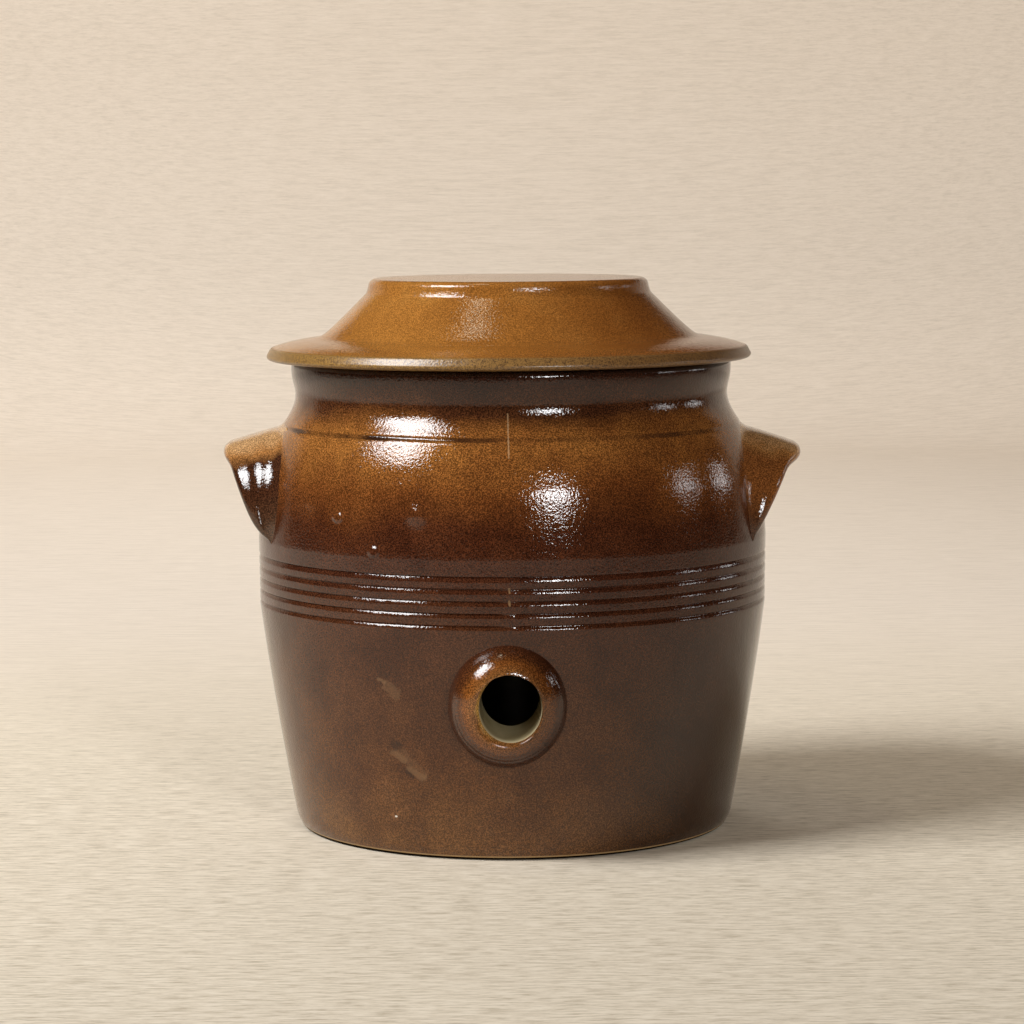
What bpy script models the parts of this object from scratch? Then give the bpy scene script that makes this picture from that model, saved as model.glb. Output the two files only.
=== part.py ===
"""Glazed stoneware crock with a hat-shaped lid, two ear lugs and a collared tap hole.

Metres, +Z up. The origin is the centre of the base, and the tap hole faces -Y.
"""
import math

import bmesh
import bpy
from mathutils import Vector

# Turned shapes
STEPS = 56                      # facets round the pot and the lid
COLLAR_STEPS = 40               # facets round the tap collar
GAP = 0.0003                    # clearance between neighbouring solids

# Crock: radii and heights of the outside
BASE_RADIUS = 0.0948
FOOT_RADIUS = 0.0977
FOOT_HEIGHT = 0.0065
BASE_ROUND = 0.0016             # the small chamfer under the foot
BELLY_RADIUS = 0.1130           # over the crests of the reeds
REED_COUNT = 5
REED_PITCH = 0.00505
REED_DEPTH = 0.0007
REEDS_BOTTOM = 0.0991
SHOULDER_BOTTOM = 0.1325
CREASE_RADIUS = 0.1020
CREASE_HEIGHT = 0.1785
NECK_RADIUS = 0.0959
NECK_HEIGHT = 0.1925
RIM_RADIUS = 0.0976
CROCK_HEIGHT = 0.2070
WALL = 0.0075                   # wall thickness, measured level
FLOOR = 0.0095                  # floor thickness
MOUTH_RADIUS = 0.0875           # inside the neck
RIM_ROUND = 0.0040              # rounding of the rim's top edges
INSIDE_ROUND = 0.0140           # fillet between the wall and the floor inside
INSIDE_SWELL = 0.0016           # the wall is this much wider at the fillet's top than at the foot
INSIDE_SLOPE = 8.0              # degrees the wall leans out there

# Handles of the crock's curves: offset from the curve's end in radius, and height
LOWER_WALL_LEAVE = (0.0055, 0.0360)
LOWER_WALL_ARRIVE = (-0.0035, 0.0710)
SHOULDER_LEAVE = (0.0, 0.1500)
SHOULDER_ARRIVE = (0.0055, 0.1690)
NECK_LEAVE = (-0.0032, 0.1815)
NECK_ARRIVE = (0.0, 0.1870)
BULGE_LEAVE = (0.0, 0.1960)
BULGE_ARRIVE = (0.0, 0.1985)
INSIDE_NECK_LEAVE = (0.0025, 0.1850)
INSIDE_NECK_ARRIVE = (0.0, 0.1880)

# Lid
LID_RADIUS = 0.1077
LID_UNDERSIDE = CROCK_HEIGHT + GAP
LID_EDGE_TOP = 0.2127
BRIM_TOP = 0.2170               # where the brim meets the foot of the cone
CONE_FOOT_RADIUS = 0.0842
CONE_TOP_RADIUS = 0.0648
CONE_TOP = 0.2350
LID_COLLAR_RADIUS = 0.0626
LID_TOP_RADIUS = 0.0600
LID_TOP = 0.2430
LID_SHOULDER = 0.0048           # height of the rounding between the flat top and its collar
CONE_LEAVE = (0.0075, 0.2282)   # handles of the cone's and the brim's curves, as the crock's
CONE_ARRIVE = (-0.0038, 0.2200)
BRIM_LEAVE = (0.0050, 0.2166)
BRIM_ARRIVE = (-0.0060, 0.2139)
LID_WALL = 0.0070
RING_RADIUS = 0.0838            # locating ring, outside
RING_WALL = 0.0060
RING_DEPTH = 0.0080
RING_TAPER = 0.0010             # the ring is this much narrower at its bottom
HOLLOW_THINNING = 0.6           # the lid's wall under the top of the cone, as a share of LID_WALL

# Tap collar: square to the sloping wall, slightly taller than wide, and set by hand
TAP_X = -0.0020                 # the lip's centre
TAP_HEIGHT = 0.0691             # where the collar's axis leaves the wall
TAP_TILT = math.radians(8.0)    # the axis points this far below level, so the bore drains outwards
COLLAR_SKEW = math.radians(4.0)  # the collar leans this far sideways, towards +X
TAP_OVAL = 1.06
COLLAR_RADIUS = 0.0245          # at the wall
COLLAR_SHOULDER_RADIUS = 0.0200
LIP_RADIUS = 0.0184
LIP_FLAT_RADIUS = 0.0170        # outer edge of the flat ring on the lip
LIP_ROUND = 0.0018              # depth of the rounding outside that ring
LIP_DEPTH = 0.0035              # from the lip's face back to the step behind it
FLANK_LEAVE = (0.0024, -0.0008)  # handles of the flank's curve, as offsets in radius and depth
FLANK_ARRIVE = (-0.0004, 0.0040)
FLANK_EDGE = 0.0004             # the flank's curve stops this far above the wall,
COLLAR_SKIRT = 0.0010           # and the part sunk in the wall is this much wider
COLLAR_LENGTH = 0.0115          # how far the lip stands off the wall
BORE_MOUTH_RADIUS = 0.0143      # at the face of the lip
BORE_MOUTH_ROUND = 0.0036       # depth of the rounding inside it
BORE_OFFSET = (0.0008, 0.0, 0.0014)  # from the lip's centre to the middle of the bore's mouth
BORE_RADIUS = 0.0130            # just inside the lip
BORE_END_RADIUS = 0.0122        # at the inside of the wall

# Ear lugs: a hood between an arch inside the wall and the arch of its lip
LUG_TIP_X = 0.1286
LUG_TIP_HEIGHT = 0.1680
LUG_LEAN = 0.45                 # the lip slopes in by this share of its drop from the tip,
LUG_CURL = 4.0                  # and by this times the drop squared
LUG_LIP_HALF_WIDTH = 0.0430
LUG_LIP_BOTTOM = 0.1245
LUG_ROOT_X = 0.0860
LUG_ROOT_HALF_WIDTH = 0.0500
LUG_ROOT_MIDDLE = 0.1470        # height at which the root is widest
LUG_ROOT_RISE = 0.0353          # from there to the top of the root
LUG_ROOT_SQUARENESS = 2.4       # exponent of the root's superellipse
LUG_ARCH_END = math.radians(125.0)
LUG_WALL = 0.0065
LUG_LIP_ROUND = 0.0024
LUG_CROWN = 0.0012              # how far the hood bulges between its two arches
LUG_COLUMNS = 26                # faces round the hood
LUG_ROWS = 5                    # faces from its root to its lip

FOOT_OF_CUTTER = -0.010         # the trimming cutter's bottom, below the base
COLLAR_SUNK = 0.0060            # how far the untrimmed collar reaches into the wall
BORE_AHEAD = 0.0040             # the bore's cutter runs this far in front of the lip,
BORE_FLARE = 0.0024             # this much wider there,
BORE_BEHIND = 0.0240            # and this far behind it, past the inside of the wall


def arc(centre, radius, start, end, count):
    """Points on an arc of (radius, height), angles in degrees, both ends included."""
    points = []
    for index in range(count + 1):
        angle = math.radians(start + (end - start) * index / count)
        points.append((centre[0] + radius * math.cos(angle), centre[1] + radius * math.sin(angle)))
    return points


def curve(start, leave, arrive, end, count):
    """Points on a cubic curve from start to end, without its first point."""
    points = []
    for index in range(1, count + 1):
        t = index / count
        weights = ((1 - t) ** 3, 3 * t * (1 - t) ** 2, 3 * t * t * (1 - t), t ** 3)
        corners = (start, leave, arrive, end)
        points.append(tuple(sum(w * c[axis] for w, c in zip(weights, corners)) for axis in (0, 1)))
    return points


def handle(end, offset):
    """The handle of a curve at one of its ends: an offset in radius, and its own height."""
    return (end[0] + offset[0], offset[1])


def reeds(radius, bottom):
    """The reeded band from bottom to top: round reeds with a narrow groove between two of them."""
    points = []
    for reed in range(REED_COUNT):
        for share, height in ((0.0, 0.0), (0.22, 0.8), (0.5, 1.0), (0.78, 0.8)):
            level = bottom + (reed + share) * REED_PITCH
            points.append((radius - REED_DEPTH + REED_DEPTH * height, level))
    points.append((radius - REED_DEPTH, bottom + REED_COUNT * REED_PITCH))
    return points


def wall_curves(inset):
    """The wall from the foot to the crease, bottom to top, moved inwards by inset."""
    foot = (FOOT_RADIUS - inset, FOOT_HEIGHT)
    belly = (BELLY_RADIUS - REED_DEPTH - inset, REEDS_BOTTOM)
    shoulder = (BELLY_RADIUS - inset, SHOULDER_BOTTOM)
    crease = (CREASE_RADIUS - inset, CREASE_HEIGHT)
    lower = [foot] + curve(foot, handle(foot, LOWER_WALL_LEAVE), handle(belly, LOWER_WALL_ARRIVE), belly, 5)
    upper = [shoulder] + curve(shoulder, handle(shoulder, SHOULDER_LEAVE), handle(crease, SHOULDER_ARRIVE),
                               crease, 6)
    return lower, upper


def neck_outside():
    """From the crease up to the rim: a hollow neck, then the rim's bulge."""
    crease = (CREASE_RADIUS, CREASE_HEIGHT)
    neck = (NECK_RADIUS, NECK_HEIGHT)
    bulge = (RIM_RADIUS, CROCK_HEIGHT - RIM_ROUND)
    hollow = curve(crease, handle(crease, NECK_LEAVE), handle(neck, NECK_ARRIVE), neck, 4)
    return hollow + curve(neck, handle(neck, BULGE_LEAVE), handle(bulge, BULGE_ARRIVE), bulge, 3)


def crock_outside():
    """The crock's outer half-section from the base edge up to the top of the rim."""
    lower, upper = wall_curves(0.0)
    base = [(BASE_RADIUS, 0.0), (BASE_RADIUS + BASE_ROUND, BASE_ROUND)]
    rim = arc((RIM_RADIUS - RIM_ROUND, CROCK_HEIGHT - RIM_ROUND), RIM_ROUND, 0, 90, 3)
    reeded = reeds(BELLY_RADIUS, REEDS_BOTTOM)
    return base + lower + reeded[1:] + upper + neck_outside() + rim[1:]


def crock_inside():
    """The crock's inner half-section from the middle of the floor up to the top of the rim."""
    lower, upper = wall_curves(WALL)
    floor_edge = lower[0][0] + INSIDE_SWELL - INSIDE_ROUND
    corner = arc((floor_edge, FLOOR + INSIDE_ROUND), INSIDE_ROUND, -90, -INSIDE_SLOPE, 4)
    mouth = (MOUTH_RADIUS, CROCK_HEIGHT - RIM_ROUND)
    neck = curve(upper[-1], handle(mouth, INSIDE_NECK_LEAVE), handle(mouth, INSIDE_NECK_ARRIVE), mouth, 4)
    rim = arc((MOUTH_RADIUS + RIM_ROUND, mouth[1]), RIM_ROUND, 180, 90, 3)
    return [(0.0, FLOOR)] + corner + lower[2:] + upper + neck + rim[1:]


def lid_section():
    """The lid's half-section, from the middle of its top, down the outside and back underneath."""
    top_edge = (LID_TOP_RADIUS, LID_TOP)
    shoulder = (LID_COLLAR_RADIUS, LID_TOP - LID_SHOULDER)
    cone_top = (CONE_TOP_RADIUS, CONE_TOP)
    foot = (CONE_FOOT_RADIUS, BRIM_TOP)
    edge_round = (LID_EDGE_TOP - LID_UNDERSIDE) / 2
    edge_middle = (LID_RADIUS - edge_round, LID_UNDERSIDE + edge_round)
    brim_end = (edge_middle[0], LID_EDGE_TOP)
    ring_bottom = LID_UNDERSIDE - RING_DEPTH
    ring_inside = RING_RADIUS - RING_WALL
    outside = [(0.0, LID_TOP), top_edge]
    outside += curve(top_edge, ((top_edge[0] + shoulder[0]) / 2, LID_TOP),
                     (shoulder[0], LID_TOP - LID_SHOULDER / 3), shoulder, 3)
    outside += [cone_top] + curve(cone_top, handle(cone_top, CONE_LEAVE), handle(foot, CONE_ARRIVE), foot, 4)
    outside += curve(foot, handle(foot, BRIM_LEAVE), handle(brim_end, BRIM_ARRIVE), brim_end, 3)
    outside += arc(edge_middle, edge_round, 90, -90, 6)[1:]
    ring = [(RING_RADIUS, LID_UNDERSIDE), (RING_RADIUS - RING_TAPER, ring_bottom), (ring_inside, ring_bottom)]
    hollow = [(ring_inside, BRIM_TOP - LID_WALL),
              (CONE_TOP_RADIUS - LID_WALL, CONE_TOP - LID_WALL * HOLLOW_THINNING), (0.0, LID_TOP - LID_WALL)]
    return outside + ring + hollow


def collar_section():
    """The collar's half-section behind the front of its lip: a lip, a step and a round flank."""
    wall = -COLLAR_LENGTH
    lip_edge = (LIP_RADIUS, -LIP_ROUND)
    lip = curve((LIP_FLAT_RADIUS, 0.0), ((LIP_FLAT_RADIUS + LIP_RADIUS) / 2, 0.0),
                (LIP_RADIUS, -LIP_ROUND / 2), lip_edge, 2)
    shoulder = (COLLAR_SHOULDER_RADIUS, -LIP_DEPTH)
    flank_end = (COLLAR_RADIUS, wall + FLANK_EDGE)
    flank = curve(shoulder, (shoulder[0] + FLANK_LEAVE[0], shoulder[1] + FLANK_LEAVE[1]),
                  (COLLAR_RADIUS + FLANK_ARRIVE[0], wall + FLANK_ARRIVE[1]), flank_end, 4)
    sunk = wall - COLLAR_SUNK
    front = [(0.0, 0.0), (LIP_FLAT_RADIUS, 0.0)] + lip + [(LIP_RADIUS, -LIP_DEPTH), shoulder]
    return front + flank + [(COLLAR_RADIUS + COLLAR_SKIRT, sunk), (0.0, sunk)]


def bore_section():
    """The bore from in front of the lip inwards: a rounded mouth, then a slight taper."""
    mouth = (BORE_MOUTH_RADIUS, 0.0)
    throat = (BORE_RADIUS, -BORE_MOUTH_ROUND)
    rounding = curve(mouth, ((BORE_MOUTH_RADIUS + BORE_RADIUS) / 2, 0.0),
                     (BORE_RADIUS, -BORE_MOUTH_ROUND / 3), throat, 3)
    ahead = [(0.0, BORE_AHEAD), (BORE_MOUTH_RADIUS + BORE_FLARE, BORE_AHEAD), mouth]
    return ahead + rounding + [(BORE_END_RADIUS, -BORE_BEHIND), (0.0, -BORE_BEHIND)]


def clear_scene():
    for obj in list(bpy.data.objects):
        bpy.data.objects.remove(obj, do_unlink=True)


def make_collection(name):
    collection = bpy.data.collections.new(name)
    bpy.context.scene.collection.children.link(collection)
    return collection


def make_material(name, colour, roughness):
    material = bpy.data.materials.new(name)
    material.use_nodes = True
    shader = material.node_tree.nodes["Principled BSDF"]
    shader.inputs["Base Color"].default_value = (*colour, 1.0)
    shader.inputs["Roughness"].default_value = roughness
    shader.inputs["Metallic"].default_value = 0.0
    return material


def turned(name, section, steps, collection):
    """An object turned round its own Z axis from a half-section of (radius, height)."""
    mesh = bpy.data.meshes.new(name)
    edges = [(index, index + 1) for index in range(len(section) - 1)]
    mesh.from_pydata([(radius, 0.0, height) for radius, height in section], edges, [])
    obj = bpy.data.objects.new(name, mesh)
    collection.objects.link(obj)
    screw = obj.modifiers.new("turn", "SCREW")
    screw.steps = steps
    screw.render_steps = steps
    screw.use_merge_vertices = True
    screw.merge_threshold = 0.00001
    return obj


def as_cutter(obj):
    obj.display_type = "WIRE"
    obj.hide_render = True
    return obj


def cut(obj, cutter):
    boolean = obj.modifiers.new("cut_" + cutter.name, "BOOLEAN")
    boolean.operation = "DIFFERENCE"
    boolean.solver = "EXACT"
    boolean.object = cutter


def finish(obj, material):
    """Fix the modifiers' result as the object's mesh, shade it smooth and give it its material."""
    bpy.context.view_layer.update()
    evaluated = obj.evaluated_get(bpy.context.evaluated_depsgraph_get())
    mesh = bpy.data.meshes.new_from_object(evaluated)
    obj.modifiers.clear()
    obj.data = mesh
    mesh.name = obj.name
    mesh.shade_smooth()
    mesh.set_sharp_from_angle(angle=math.radians(35.0))
    mesh.materials.clear()
    mesh.materials.append(material)


def wall_radius(height):
    """The crock's outer radius at a height on the plain wall below the reeds."""
    lower, _ = wall_curves(0.0)
    for (low_radius, low), (high_radius, high) in zip(lower, lower[1:]):
        if low <= height <= high:
            return low_radius + (high_radius - low_radius) * (height - low) / (high - low)
    raise ValueError("height is off the plain wall")


def axis_empty(name, location, sideways, collection):
    """An empty whose Z axis points out of the wall at the tap's slope, turned sideways by an angle."""
    empty = bpy.data.objects.new(name, None)
    collection.objects.link(empty)
    empty.location = location
    empty.rotation_euler = (math.radians(90.0) + TAP_TILT, 0.0, sideways)
    return empty


def lip_centre():
    """The middle of the tap collar's lip: the collar's length out from the wall."""
    out = wall_radius(TAP_HEIGHT) + COLLAR_LENGTH * math.cos(TAP_TILT)
    return Vector((TAP_X, -out, TAP_HEIGHT - COLLAR_LENGTH * math.sin(TAP_TILT)))


def lug_arches(angle):
    """The point on the root's arch and the point on the lip's arch at one angle from the top."""
    side = math.copysign(1.0, angle)
    power = 2.0 / LUG_ROOT_SQUARENESS
    across = abs(math.sin(angle)) ** power
    rise = math.copysign(abs(math.cos(angle)) ** power, math.cos(angle))
    root = Vector((LUG_ROOT_X, side * LUG_ROOT_HALF_WIDTH * across,
                   LUG_ROOT_MIDDLE + LUG_ROOT_RISE * rise))
    quarter = angle / LUG_ARCH_END * math.pi / 2
    height = LUG_LIP_BOTTOM + (LUG_TIP_HEIGHT - LUG_LIP_BOTTOM) * math.cos(quarter)
    drop = LUG_TIP_HEIGHT - height
    lip = Vector((LUG_TIP_X - LUG_LEAN * drop - LUG_CURL * drop ** 2,
                  LUG_LIP_HALF_WIDTH * math.sin(quarter), height))
    return root, lip


def lug_sheet(side):
    """The hood's outer surface: a loft from the arch in the wall out to the arch of the lip."""
    mesh = bpy.data.meshes.new("lug_sheet")
    build = bmesh.new()
    grid = []
    for column in range(LUG_COLUMNS + 1):
        angle = LUG_ARCH_END * (2 * column / LUG_COLUMNS - 1)
        root, lip = lug_arches(angle)
        outward = Vector((0.0, lip.y, lip.z - LUG_LIP_BOTTOM)).normalized()
        line = []
        for row in range(LUG_ROWS + 1):
            share = row / LUG_ROWS
            point = root.lerp(lip, share) + outward * LUG_CROWN * 4 * share * (1 - share)
            line.append(build.verts.new((side * point.x, point.y, point.z)))
        grid.append(line)
    for first, second in zip(grid, grid[1:]):
        for row in range(LUG_ROWS):
            build.faces.new((first[row], first[row + 1], second[row + 1], second[row]))
    if side < 0:
        bmesh.ops.reverse_faces(build, faces=build.faces)
    build.to_mesh(mesh)
    build.free()
    return mesh


def make_lug(name, side, crock_cutter, collection):
    """One hood-shaped ear lug, trimmed to stand on the crock's shoulder."""
    lug = bpy.data.objects.new(name, lug_sheet(side))
    collection.objects.link(lug)
    thicken = lug.modifiers.new("wall", "SOLIDIFY")
    thicken.thickness = LUG_WALL
    thicken.offset = -1.0
    thicken.use_even_offset = True
    round_lip = lug.modifiers.new("round_lip", "BEVEL")
    round_lip.width = LUG_LIP_ROUND
    round_lip.segments = 2
    round_lip.limit_method = "ANGLE"
    round_lip.angle_limit = math.radians(50.0)
    cut(lug, crock_cutter)
    return lug


def main():
    clear_scene()
    parts = make_collection("stoneware_crock")
    cutters = make_collection("cutters")

    brown_glaze = make_material("brown_glaze", (0.150, 0.066, 0.030), 0.18)
    ochre_glaze = make_material("ochre_glaze", (0.400, 0.215, 0.085), 0.25)
    amber_glaze = make_material("amber_glaze", (0.240, 0.105, 0.040), 0.18)

    outside = crock_outside()
    envelope = [(radius + GAP, height) for radius, height in outside[1:]]
    envelope = [(envelope[0][0], FOOT_OF_CUTTER)] + envelope
    envelope = [(0.0, FOOT_OF_CUTTER)] + envelope + [(0.0, CROCK_HEIGHT)]
    crock_cutter = as_cutter(turned("crock_envelope", envelope[::-1], STEPS, cutters))

    lip_middle = lip_centre()
    collar_axis = axis_empty("collar_axis", lip_middle, COLLAR_SKEW, parts)
    bore_axis = axis_empty("bore_axis", lip_middle + Vector(BORE_OFFSET), 0.0, parts)
    bore = as_cutter(turned("tap_bore", bore_section(), COLLAR_STEPS, cutters))
    bore.parent = bore_axis
    bore.scale = (1.0, TAP_OVAL, 1.0)

    crock = turned("crock_body", crock_inside() + outside[::-1][1:] + [(0.0, 0.0)], STEPS, parts)
    cut(crock, bore)

    collar = turned("tap_collar", collar_section(), COLLAR_STEPS, parts)
    collar.parent = collar_axis
    collar.scale = (1.0, TAP_OVAL, 1.0)
    cut(collar, crock_cutter)
    cut(collar, bore)

    lug_left = make_lug("handle_left", -1, crock_cutter, parts)
    lug_right = make_lug("handle_right", 1, crock_cutter, parts)

    lid = turned("lid", lid_section(), STEPS, parts)

    for obj, material in ((crock, brown_glaze), (collar, amber_glaze), (lug_left, brown_glaze),
                          (lug_right, brown_glaze), (lid, ochre_glaze)):
        finish(obj, material)


main()
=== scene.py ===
import math

import bmesh
import bpy
import numpy as np
from mathutils import Euler, Matrix, Vector


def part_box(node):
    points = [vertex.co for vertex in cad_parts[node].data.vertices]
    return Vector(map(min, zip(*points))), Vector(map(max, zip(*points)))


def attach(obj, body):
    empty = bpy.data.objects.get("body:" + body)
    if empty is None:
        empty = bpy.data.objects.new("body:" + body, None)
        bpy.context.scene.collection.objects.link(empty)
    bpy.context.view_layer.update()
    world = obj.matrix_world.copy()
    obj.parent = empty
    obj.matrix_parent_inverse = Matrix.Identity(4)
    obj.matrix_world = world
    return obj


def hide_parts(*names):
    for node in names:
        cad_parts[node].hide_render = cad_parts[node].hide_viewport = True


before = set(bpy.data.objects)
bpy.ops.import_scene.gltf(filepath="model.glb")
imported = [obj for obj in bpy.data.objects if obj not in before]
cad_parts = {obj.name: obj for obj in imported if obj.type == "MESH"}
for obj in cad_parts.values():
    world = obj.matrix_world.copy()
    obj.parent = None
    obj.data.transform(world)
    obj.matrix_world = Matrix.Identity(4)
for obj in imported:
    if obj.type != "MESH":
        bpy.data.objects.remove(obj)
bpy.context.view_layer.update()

MM = 0.001


def at(across, up):
    """A point given in millimetres: (radius or x, height)."""
    return (across * MM, up * MM)


crock_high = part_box("crock_body")[1]
lid_low, lid_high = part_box("lid")

# Crock: the same outline as the CAD's, in finer steps. Points are (radius, height)
BELLY = crock_high.x
RIM_TOP = crock_high.z
WALL = 7.5 * MM
FLOOR = 9.5 * MM
FLOOR_ROUND = 14 * MM
BASE_RADIUS = 94.8 * MM
FOOT_TURN = at(95.9, 1.8)
FOOT = at(97.7, 6.5)
GROOVE_COUNT = 5
GROOVE_PITCH = 5.15 * MM
GROOVE_DEPTH = 0.72 * MM
GROOVE_LEDGE = 0.45 * MM
TOP_GROOVE = 122.9 * MM
LOW_GROOVE = TOP_GROOVE - (GROOVE_COUNT - 1) * GROOVE_PITCH
WALL_TOP = (BELLY - 0.35 * MM, LOW_GROOVE - 2.6 * MM)
SHOULDER = (BELLY, 129.5 * MM)
SHOULDER_BOW = at(110.0, 156)
SHOULDER_TURN = at(108.1, 163)
CREASE = at(102.0, 178.5)
CREASE_DEPTH = 0.30 * MM
CREASE_WIDTH = 0.95 * MM
NECK = at(95.9, 192.5)
RIM = 97.6 * MM
RIM_ROUND = 2.8 * MM
MOUTH = 87.5 * MM
ROUND_STEPS = 360

# The mould seam runs up the front a little left of the middle
SEAM_X = -1.6 * MM
SEAM_HEIGHT = 0.22 * MM

# Small bumps on the shoulder's front, as (x, z, size, height)
SMALL_BUMPS = ((-39.5 * MM, 148.0 * MM, 3.6 * MM, 1.35 * MM), (-86.0 * MM, 150.5 * MM, 3.0 * MM, 0.35 * MM))
# Pimples in the glaze, too fine for the mesh, as (x, z, size, height)
PIMPLES = ((-73.8 * MM, 145.1 * MM, 2.8 * MM, 0.46 * MM), (-58.2 * MM, 131.7 * MM, 3.0 * MM, 0.56 * MM))

# Old scuffs low on the front, as (start, end, half width, strength); a negative strength darkens
SCUFFS = ((at(-47.5, 46.0), at(-38.8, 36.8), 3.4 * MM, 0.20),
          (at(-50.6, 45.8), at(-46.0, 42.8), 2.0 * MM, 0.36),
          (at(-43.6, 39.0), at(-38.2, 35.8), 2.2 * MM, 0.42),
          (at(-50.2, 49.2), at(-48.6, 49.4), 2.8 * MM, -0.60),
          (at(-45.2, 38.0), at(-42.4, 35.6), 1.2 * MM, -0.70),
          (at(-56.4, 77.8), at(-54.4, 76.8), 1.3 * MM, 0.45),
          (at(-52.5, 75.0), at(-49.2, 71.6), 3.2 * MM, 0.28),
          (at(-55.0, 80.2), at(-54.0, 79.2), 2.4 * MM, -0.30))
PIT = at(-50.2, 17.6)
FLECKS = (at(-56.0, 30.0), at(-50.0, 20.0))

# Tap hole: the collar's lip leans down and a little to one side, and the bore isn't quite in line with it
TAP_X = -2.0 * MM
TAP_HEIGHT = 69.1 * MM
TAP_TILT = math.radians(8.0)
TAP_SKEW = math.radians(4.0)
TAP_OVAL = 1.06
COLLAR_LENGTH = 11.5 * MM
LIP_EDGE = at(16.6, -0.4)
FLANK_RADIUS = 24.9 * MM
SKIRT_SINK = 4.0 * MM
TURNING_LINES = (19.4 * MM, 21.3 * MM, 23.2 * MM)
BORE_SHIFT = Vector((0.8 * MM, 0.0, 0.9 * MM))
BORE_OVAL = 1.125
BORE_LENGTH = 22.0 * MM
BORE_RADIUS = 12.3 * MM
CUT_RADIUS = 14.6 * MM

# Lugs
LUG_ROOT = at(86.0, 182.3)
LUG_BOTTOM = 124.6 * MM
LUG_HALF_WIDTHS = (47 * MM, 43 * MM)
LUG_ARCH_POWER = 2.0 / 2.6
LUG_WALL = 6.4 * MM
LUG_COLUMNS = 161

# Lid
LID_RIDE = 8.0 * MM
LID_OFF_CENTRE = 0.9 * MM


# ---------------------------------------------------------------- outlines

def bend(start, leave, arrive, end, count):
    """Points on a cubic curve from start to end, without its first point."""
    t = np.linspace(0.0, 1.0, count + 1)[1:, None]
    corners = [np.array(point) for point in (start, leave, arrive, end)]
    return list((1 - t) ** 3 * corners[0] + 3 * t * (1 - t) ** 2 * corners[1]
                + 3 * t * t * (1 - t) * corners[2] + t ** 3 * corners[3])


def arc(centre, radius, start, end, count):
    """Points on an arc, angles in degrees, both ends included."""
    angles = np.radians(np.linspace(start, end, count + 1))
    return [np.array((centre[0] + radius * math.cos(a), centre[1] + radius * math.sin(a))) for a in angles]


def straight(start, end, step):
    """Points along a straight run, without its first point."""
    start = np.array(start, dtype=float)
    end = np.array(end, dtype=float)
    count = max(1, int(round(np.linalg.norm(end - start) / step)))
    return [start + (end - start) * (i + 1) / count for i in range(count)]


def lower_wall(count):
    """The straight wall from the foot up to the reeded band, a little full in the middle."""
    return [np.array(FOOT)] + bend(FOOT, (FOOT[0] + 5.5 * MM, 36 * MM),
                                   (WALL_TOP[0] - 3.2 * MM, 73 * MM), WALL_TOP, count)


def lean(degrees):
    """The upward direction of a wall that leans in by an angle."""
    return np.array((-math.sin(math.radians(degrees)), math.cos(math.radians(degrees))))


def upper_wall(count):
    """The shoulder: a slight edge over the reeded band, a slow bow, and an even slope up to the crease."""
    bow = np.array(SHOULDER_BOW)
    turn = np.array(SHOULDER_TURN)
    points = bend(SHOULDER, SHOULDER + lean(4.5) * 12 * MM, bow - lean(11.0) * 5 * MM, bow, count // 2)
    points += bend(bow, bow + lean(11.0) * 2.4 * MM, turn - lean(16.0) * 2.4 * MM, turn, count // 5)
    return points + bend(turn, turn + lean(16.0) * 4 * MM, CREASE - lean(25.0) * 8 * MM, CREASE, count)


def neck_wall(count):
    """The neck: in from the crease to a hollow, then out again to the rolled rim."""
    bulge = (RIM, RIM_TOP - RIM_ROUND)
    hollow = bend(CREASE, (CREASE[0] - 2.6 * MM, 182.2 * MM), (NECK[0], 187 * MM), NECK, 2 * count)
    return hollow + bend(NECK, (NECK[0], 196 * MM), (RIM, 198.5 * MM), bulge, count // 2)


def crock_outside():
    """The crock's outer half-section, from the middle of the base up to the top of the rim."""
    flat_edge = (BASE_RADIUS - 3.4 * MM, 0.0)
    under = [np.array((0.0, 0.0))] + straight((0.0, 0.0), flat_edge, 8 * MM)
    foot = bend(flat_edge, (BASE_RADIUS - 1.0 * MM, 0.0), (BASE_RADIUS + 0.7 * MM, 0.5 * MM), FOOT_TURN, 8)
    foot += bend(FOOT_TURN, at(96.6, 3.0), at(97.3, 4.6), FOOT, 5)
    band = straight(WALL_TOP, SHOULDER, 0.22 * MM)
    rim = arc((RIM - RIM_ROUND, RIM_TOP - RIM_ROUND), RIM_ROUND, 0, 90, 10)
    return under + foot + lower_wall(60)[1:] + band + upper_wall(44) + neck_wall(22) + rim[1:]


def crock_inside():
    """The crock's inner half-section, from the middle of the floor up to the top of the rim."""
    inset = np.array((WALL, 0.0))
    lower = [point - inset for point in lower_wall(14)]
    upper = [point - inset for point in upper_wall(14)]
    corner_middle = (lower[0][0] + 1.6 * MM - FLOOR_ROUND, FLOOR + FLOOR_ROUND)
    corner = arc(corner_middle, FLOOR_ROUND, -90, -8, 12)
    floor = [np.array((0.0, FLOOR))] + straight((0.0, FLOOR), corner[0], 8 * MM)
    band = straight(lower[-1], upper[0], 3 * MM)
    neck = bend(upper[-1], (MOUTH + 2.5 * MM, 185 * MM), (MOUTH, 188 * MM), (MOUTH, RIM_TOP - RIM_ROUND), 12)
    rim = arc((MOUTH + RIM_ROUND, RIM_TOP - RIM_ROUND), RIM_ROUND, 180, 90, 10)
    return floor + corner[1:] + lower[2:] + band[:-1] + upper + neck + rim[1:]


OUTLINE = np.array(crock_outside())
SIDE = OUTLINE[np.argmax(OUTLINE[:, 1] > 0):]


def wall_radius(height):
    """The crock's plain outer radius at a height, without its grooves."""
    return np.interp(height, SIDE[:, 1], SIDE[:, 0])


# ---------------------------------------------------------------- meshes

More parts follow.
